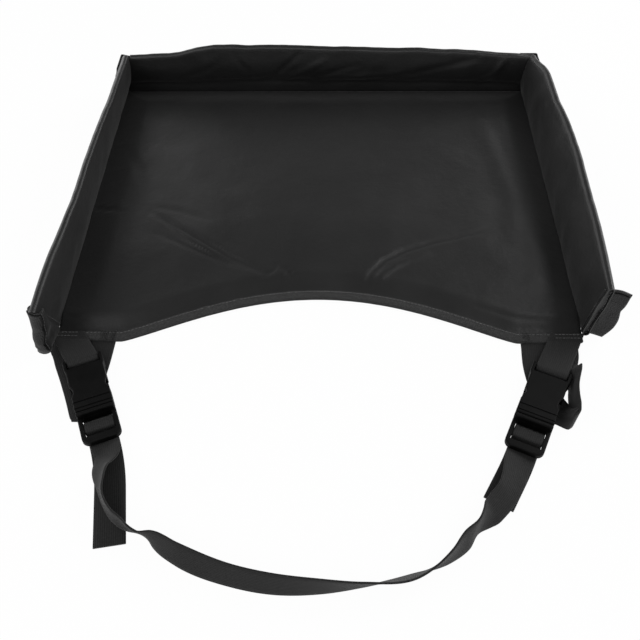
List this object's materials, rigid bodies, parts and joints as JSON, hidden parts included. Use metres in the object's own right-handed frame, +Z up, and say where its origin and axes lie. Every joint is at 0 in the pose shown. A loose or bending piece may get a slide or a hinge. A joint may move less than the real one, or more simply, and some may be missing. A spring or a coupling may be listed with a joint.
{
  "type": "car seat tray table",
  "caption": "Fabric lap tray with fold-up padded side and rear walls, a curved belly edge, and a waist belt on two side-release buckles.",
  "frame": {"origin": "middle of the tray's underside, on the surface that it lies on", "axes": "+X to the right-hand wall, +Y to the rear wall, -Y to the belly edge and the belt, +Z up"},
  "size_m": [0.433, 0.5171, 0.0575],
  "materials": {
    "coated_nylon": "satin coated nylon",
    "binding_tape": "heathered woven tape",
    "polyester_webbing": "ribbed webbing",
    "moulded_acetal": "satin",
    "hook_tape": "hook tape",
    "loop_tape": "brushed loop tape",
    "polypropylene_board": "matte",
    "EVA_foam": "closed-cell foam"
  },
  "bodies": {
    "tray": {"base_board": "polypropylene_board", "base_foam": "EVA_foam", "base_cover_top": "coated_nylon", "base_cover_bottom": "coated_nylon", "front_binding": "binding_tape"},
    "wall_left": {"wall_left_cover": "coated_nylon", "wall_left_insert": "EVA_foam", "loop_patch_left": "loop_tape"},
    "wall_right": {"wall_right_cover": "coated_nylon", "wall_right_insert": "EVA_foam", "loop_patch_right": "loop_tape"},
    "wall_rear": {"wall_rear_cover": "coated_nylon", "wall_rear_insert": "EVA_foam", "corner_hook_tab_left": "hook_tape", "corner_hook_tab_right": "hook_tape"},
    "flap_left": {"sleeve_flap_left": "coated_nylon", "hook_tape_left": "hook_tape"},
    "flap_right": {"sleeve_flap_right": "coated_nylon", "hook_tape_right": "hook_tape"},
    "harness": {"strap_tab_left": "polyester_webbing", "strap_tab_right": "polyester_webbing", "hanging_loop_left": "polyester_webbing", "hanging_loop_right": "polyester_webbing", "buckle_socket_left": "moulded_acetal", "buckle_socket_right": "moulded_acetal", "belt_span": "polyester_webbing"},
    "plug_left": {"buckle_plug_left": "moulded_acetal", "belt_end_left": "polyester_webbing"},
    "arm_left_a": {"spring_arm_left_a": "moulded_acetal"},
    "arm_left_b": {"spring_arm_left_b": "moulded_acetal"},
    "plug_right": {"buckle_plug_right": "moulded_acetal", "belt_end_right": "polyester_webbing"},
    "arm_right_a": {"spring_arm_right_a": "moulded_acetal"},
    "arm_right_b": {"spring_arm_right_b": "moulded_acetal"}
  },
  "joints": [
    {"name": "fold_left", "type": "hinge", "parent": "tray", "child": "wall_left", "pos_m": [-0.2025, 0, 0.0025], "axis": [0, -1, 0], "range_deg": [0, 90], "deforming": ["corner_hook_tab_left", "corner_hook_tab_right"]},
    {"name": "fold_right", "type": "hinge", "parent": "tray", "child": "wall_right", "pos_m": [0.2025, 0, 0.0025], "axis": [0, 1, 0], "range_deg": [0, 78], "deforming": ["corner_hook_tab_left", "corner_hook_tab_right"]},
    {"name": "fold_rear", "type": "hinge", "parent": "tray", "child": "wall_rear", "pos_m": [0, 0.16, 0.0025], "axis": [-1, 0, 0], "range_deg": [0, 90], "deforming": ["corner_hook_tab_left", "corner_hook_tab_right"]},
    {"name": "close_flap_left", "type": "hinge", "parent": "wall_left", "child": "flap_left", "pos_m": [-0.20416, -0.15528, 0.01343], "axis": [0.0429, -0.4789, 0.8768], "range_deg": [-40, 76]},
    {"name": "close_flap_right", "type": "hinge", "parent": "wall_right", "child": "flap_right", "pos_m": [0.20439, -0.15352, 0.00827], "axis": [-0.094, 0.0545, -0.9941], "range_deg": [-60, 134]},
    {"name": "fold_harness", "type": "hinge", "parent": "tray", "child": "harness", "pos_m": [0, -0.16, 0.00415], "axis": [-1, 0, 0], "range_deg": [-90, 120], "deforming": ["strap_tab_left", "strap_tab_right", "hanging_loop_left", "hanging_loop_right"]},
    {"name": "release_left", "type": "slide", "parent": "harness", "child": "plug_left", "axis": [0.3827, -0.9239, 0], "range_m": [0, 0.035], "deforming": ["belt_span", "spring_arm_left_a", "spring_arm_left_b"]},
    {"name": "squeeze_left_a", "type": "hinge", "parent": "plug_left", "child": "arm_left_a", "pos_m": [-0.1489, -0.22143, 0.00825], "axis": [0, 0, 1], "range_deg": [0, 7], "stiffness_Nm_per_rad": 0.05},
    {"name": "squeeze_left_b", "type": "hinge", "parent": "plug_left", "child": "arm_left_b", "pos_m": [-0.16257, -0.2271, 0.00825], "axis": [0, 0, -1], "range_deg": [0, 7], "stiffness_Nm_per_rad": 0.05},
    {"name": "release_right", "type": "slide", "parent": "harness", "child": "plug_right", "axis": [-0.4258, -0.9048, 0], "range_m": [0, 0.035], "deforming": ["belt_span", "spring_arm_right_a", "spring_arm_right_b"]},
    {"name": "squeeze_right_a", "type": "hinge", "parent": "plug_right", "child": "arm_right_a", "pos_m": [0.1571, -0.23411, 0.00825], "axis": [0, 0, 1], "range_deg": [0, 7], "stiffness_Nm_per_rad": 0.05},
    {"name": "squeeze_right_b", "type": "hinge", "parent": "plug_right", "child": "arm_right_b", "pos_m": [0.14371, -0.2278, 0.00825], "axis": [0, 0, -1], "range_deg": [0, 7], "stiffness_Nm_per_rad": 0.05}
  ],
  "couplings": [
    {"joint": "squeeze_left_b", "follows": "squeeze_left_a", "ratio": 1},
    {"joint": "squeeze_right_b", "follows": "squeeze_right_a", "ratio": 1}
  ]
}
